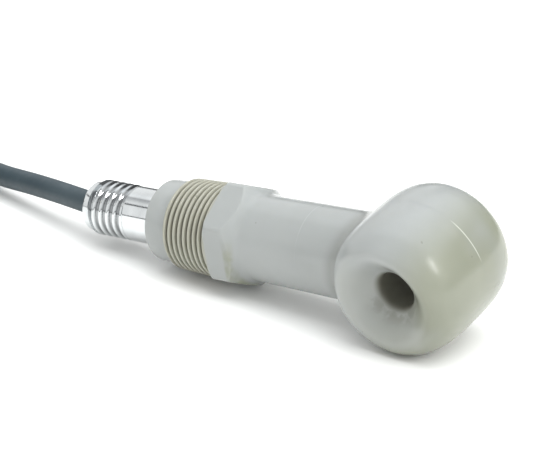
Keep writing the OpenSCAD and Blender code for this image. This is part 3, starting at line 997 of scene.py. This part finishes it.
def thread_with_painted_shade(graph, colour, x, from_axis):
    """The taper thread, with a tan cast painted for the light bounced in its grooves, and painted
    shade that darkens it the deeper it lies below its crests.
    """
    on_thread = graph.product(graph.rise(x, 0.8 - HEX_BACK, -0.4 - HEX_BACK),
                              graph.rise(x, 0.1 - NPT_BACK, 0.7 - NPT_BACK))
    past_hexagon = graph.math("ADD", x, HEX_BACK * MM)
    crest = graph.math("ADD", NPT_CREST_R * MM, graph.product(past_hexagon, NPT_TAPER))
    depth = graph.math("SUBTRACT", crest, from_axis)
    # Painted shade: darker the deeper below the crest, over a painted tan cast of bounced light
    groove = graph.tint(graph.rise(depth, 0.25, 1.15), THREAD_CREST, THREAD_GROOVE_SHADE)
    return graph.tint(on_thread, colour, groove)


def face_light_and_crease_shade(graph, colour, places, from_axis, from_hole):
    """Painted light: a lighter lower left part of each face. Painted shade: a darker crease where
    the stem meets the head.
    """
    x, y, z = places
    down_left = graph.math("ADD", graph.product(x, -0.6), graph.product(z, -0.8))
    # Painted light: where each face is painted lighter, low on its left
    face = graph.product(graph.rise(from_hole, 16.5, 12.5),
                         graph.rise(graph.math("ABSOLUTE", y), THROAT + 0.4, THROAT + 1.2),
                         graph.rise(down_left, -6, 4))
    colour = graph.tint(graph.product(face, 0.75), colour, FACE_LIGHT)
    # Painted shade: darker in the crease where the stem meets the head
    crease = graph.product(graph.rise(from_axis, 17.5, 13), graph.rise(x, -9, -12.5),
                           graph.rise(from_hole, HEAD_R + 5, HEAD_R))
    return graph.tint(graph.product(crease, 0.7), colour, CREASE_SHADE)


def hole_stain_and_shade(graph, colour, z, from_hole):
    """Painted shade inside the flow hole, and dirt in patches on the funnels below it."""
    below = graph.product(graph.rise(z, 1, -5), graph.rise(from_hole, 9.8, 6.2),
                          graph.fade(graph.noise(260.0, 4), 0.42, 0.6), 0.45)
    # Painted shade: the wall inside the flow hole is darkened
    inside = graph.rise(from_hole, 6.8, 5.2)
    return graph.tint(graph.math("MAXIMUM", below, inside), colour, HOLE_STAIN_AND_SHADE)


def specks_seam_and_joint_highlight(graph, colour, places):
    """Fine specks, a painted highlight along the line where the head's halves meet, and the faint
    seam on the stem.
    """
    x, y, z = places
    specks = graph.fade(graph.noise(620.0, 0), 0.14, 0.12)
    colour = graph.tint(graph.product(specks, 0.4), colour, SPECK)
    from_joint = graph.math("ABSOLUTE", graph.math("SUBTRACT", y, SPLIT_Y * MM))
    # Painted highlight: lighter along the joint of the head's halves, only on the upper right of
    # the head
    line = graph.product(graph.rise(from_joint, 0.24, 0.08), graph.rise(x, 11, 13.5),
                         graph.rise(z, 4, 8))
    colour = graph.tint(graph.product(line, 0.7), colour, JOINT_HIGHLIGHT)
    from_seam = graph.math("ABSOLUTE", graph.math("ADD", x, SEAM * MM))
    seam = graph.product(graph.rise(from_seam, 0.22, 0.06),
                         graph.fade(graph.noise(75.0, 2), 0.46, 0.56))
    return graph.tint(graph.product(seam, 0.14), colour, SEAM_LINE)


def housing(name):
    """Pale, slightly see-through plastic, yellowed in places, with painted light and shade, dents
    and fine scratches.
    """
    graph = material_graph(name)
    x, y, z = graph.split(graph.place)
    from_axis, from_hole = graph.length(y, z), graph.length(x, z)
    colour = plastic_tone_and_shade(graph, x, z)
    colour = thread_with_painted_shade(graph, colour, x, from_axis)
    colour = face_light_and_crease_shade(graph, colour, (x, y, z), from_axis, from_hole)
    colour = hole_stain_and_shade(graph, colour, z, from_hole)
    colour = specks_seam_and_joint_highlight(graph, colour, (x, y, z))
    normal = graph.bump(graph.noise(60.0, 2), 0.4, 0.12)
    normal = graph.bump(graph.noise(60.0, 2, stretch=(1, 24, 24)), 0.15, 0.01, normal)
    graph.shade({"Base Color": colour,
                 "Roughness": graph.ramp(graph.noise(240.0, 4), 0.18, 0.27),
                 "Normal": graph.bump(graph.noise(420.0, 2), 0.3, 0.012, normal),
                 "Subsurface Weight": 0.4,
                 "Subsurface Radius": (1.0, 0.95, 0.8),
                 "Subsurface Scale": 0.002})
    return graph.owner


def make_materials():
    return {
        "housing_plastic": housing("housing_plastic"),
        "stainless": nipple_metal("stainless"),
        "lead_jacket": plastic("lead_jacket", (0.036, 0.053, 0.063), (0.047, 0.067, 0.078),
                               rough=(0.48, 0.6), mottle=90.0),
        "heat_shrink": plastic("heat_shrink", (0.012, 0.012, 0.013), (0.02, 0.02, 0.022),
                               rough=(0.3, 0.45)),
        "seal_rubber": plastic("seal_rubber", (0.015, 0.015, 0.016), (0.03, 0.03, 0.03),
                               rough=(0.6, 0.8)),
        "brass_crimp": metal("brass_crimp", (0.60, 0.42, 0.20), (0.72, 0.55, 0.30)),
        "ferrite": plastic("ferrite", (0.03, 0.03, 0.032), (0.06, 0.06, 0.06), rough=(0.6, 0.8)),
        "magnet_wire": metal("magnet_wire", (0.45, 0.18, 0.07), (0.62, 0.28, 0.12)),
        "shield_copper": metal("shield_copper", (0.70, 0.38, 0.25), (0.85, 0.52, 0.38)),
        "spacer_plastic": plastic("spacer_plastic", (0.68, 0.62, 0.46), (0.76, 0.70, 0.55)),
        "sensor_ceramic": plastic("sensor_ceramic", (0.78, 0.77, 0.72), (0.85, 0.84, 0.8)),
        "potting_resin": plastic("potting_resin", (0.03, 0.02, 0.012), (0.06, 0.035, 0.02),
                                 rough=(0.1, 0.2), coat=0.3),
        "tie_fabric": woven("tie_fabric", (0.008, 0.008, 0.009), (0.03, 0.03, 0.032)),
        "tinned_copper": metal("tinned_copper", (0.62, 0.62, 0.60), (0.75, 0.75, 0.73)),
        "core_insulation_white": plastic("core_insulation_white", (0.7, 0.7, 0.68),
                                         (0.8, 0.8, 0.78)),
        "core_insulation_black": plastic("core_insulation_black", (0.01, 0.01, 0.01),
                                         (0.02, 0.02, 0.02)),
        "core_insulation_red": plastic("core_insulation_red", (0.42, 0.02, 0.015),
                                       (0.52, 0.03, 0.02)),
        "core_insulation_green": plastic("core_insulation_green", (0.02, 0.20, 0.06),
                                         (0.03, 0.27, 0.08)),
        "core_insulation_blue": plastic("core_insulation_blue", (0.02, 0.08, 0.35),
                                        (0.03, 0.12, 0.45)),
        "core_insulation_yellow": plastic("core_insulation_yellow", (0.68, 0.5, 0.02),
                                          (0.78, 0.6, 0.04)),
    }


MATERIALS = make_materials()


def finish_piece(piece, slot, *nodes):
    """Gives a piece its material, its body and the CAD nodes that it stands for."""
    piece.data.materials.clear()
    piece.data.materials.append(MATERIALS[slot])
    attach(piece, "root")
    if nodes:
        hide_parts(*nodes)
    return piece


# ---------------------------------------------------------------- assembly

lead, lead_length = build_lead()
finish_piece(lead, "lead_jacket", "cable_lead", "cable_coil")

head_shell, head_cap = build_head()
finish_piece(head_shell, "housing_plastic", "head_shell")
finish_piece(head_cap, "housing_plastic", "head_cap")
finish_piece(build_rear_body(), "housing_plastic", "rear_body")
finish_piece(build_nipple(), "stainless", "nipple")

finish_piece(build_ties(), "tie_fabric", "coil_ties")
finish_piece(build_boot(), "heat_shrink", "end_boot")
for number, colour in enumerate(CORES):
    core = curve_piece("wire_" + colour, core_points(number), CORE_R)
    finish_piece(core, "core_insulation_" + colour, "core_" + colour)
drain = curve_piece("wire_drain", core_points(len(CORES)), CORE_R)
finish_piece(drain, "tinned_copper", "drain_wire")
finish_piece(build_ferrules(), "tinned_copper", "end_ferrules")

for part in frame["record"]["subparts"]:
    node = frame["nodes"][part["node"]]
    if not node.hide_render:
        for socket in node.material_slots:
            socket.material = MATERIALS[part["material_slot"]]

# ---------------------------------------------------------------- stage and light

FLOOR = (0.92, 0.92, 0.905)
ROOM = (1.06, 1.07, 1.07)
SOFT_BOX = (1.48, 1.53, 1.57)
CEILING = (0.5, 0.51, 0.52)
GAP = (0.04, 0.045, 0.05)
SOFT_LIGHT = (1.0, 1.01, 1.01)


def make_floor():
    side = 6000.0
    material = Graph(bpy.data.materials.new("floor"), "Principled BSDF")
    material.shade({"Base Color": FLOOR, "Roughness": 0.9})
    points = [(-side, -side, 0), (side, -side, 0), (side, side, 0), (-side, side, 0)]
    floor = mesh_piece("floor", points, [(0, 1, 2, 3)], on_probe=False, smooth=False)
    floor.data.materials.append(material.owner)


def area_light(name, place, target, size, power, colour=(1, 1, 1)):
    data = bpy.data.lights.new(name, "AREA")
    data.shape = "RECTANGLE"
    data.size, data.size_y = size
    data.energy = power
    data.color = colour
    light = add_object(name, data)
    light.location = place
    aim = Vector(target) - Vector(place)
    light.rotation_euler = aim.to_track_quat("-Z", "Y").to_euler()
    return light


def make_world():
    """Soft white light from all round. What the probe mirrors is a studio: a soft box above and
    behind, a darker ceiling in front, and dark gaps at the horizon, behind and high in front."""
    world = bpy.data.worlds.new("studio")
    bpy.context.scene.world = world
    graph = Graph(world, "Background")
    fade, product = graph.fade, graph.product
    x, y, z = graph.split(graph.node("ShaderNodeTexCoord", {}, "Generated"))

    edge = graph.math("ADD", 0.035, product(fade(y, 0.1, 0.4), 0.2))
    above = graph.math("SUBTRACT", z, edge)
    lighter_left = graph.math("SUBTRACT", 1.0, product(fade(x, -0.63, -0.72), 0.6))
    horizon = product(fade(above, 0.03, 0.0), fade(z, -0.03, -0.01), lighter_left)
    from_gap = graph.math("ABSOLUTE", graph.math("SUBTRACT", z, 0.55))
    high_gap = product(fade(from_gap, 0.03, 0.014), fade(y, -0.1, -0.3))
    panel = product(fade(x, -0.53, -0.46), fade(y, 0.3, 0.45),
                    fade(z, 0.16, 0.22), fade(z, 0.68, 0.6), 0.9)
    dark = graph.math("MAXIMUM", graph.math("MAXIMUM", horizon, high_gap), panel)

    colour = graph.tint(product(fade(y, 0.0, 0.07), fade(z, 0.66, 0.78)), ROOM, SOFT_BOX)
    colour = graph.tint(product(fade(y, 0.0, -0.07), fade(z, 0.62, 0.72)), colour, CEILING)
    mirrored = graph.node("ShaderNodeLightPath", {}, "Is Glossy Ray")
    seen = graph.tint(dark, colour, GAP)
    graph.shade({"Color": graph.tint(mirrored, SOFT_LIGHT, seen), "Strength": 1.0})


def make_light():
    make_world()
    overhead = area_light("overhead", (0.4, 0.05, 2.15), (-0.02, 0, 0.02), (2.2, 2.2), 42.0,
                          (0.98, 1.0, 1.02))
    overhead.visible_glossy = False
    fill = area_light("right_fill", (1.6, -0.1, 1.0), (0, 0, 0.02), (1.0, 0.8), 5.0)
    fill.visible_glossy = False
    area_light("side_strip", (1.56, -0.06, 1.24), (0.05, 0, 0.02), (0.22, 0.75), 8.0)
    bpy.context.scene.view_settings.view_transform = "Standard"


make_floor()
make_light()
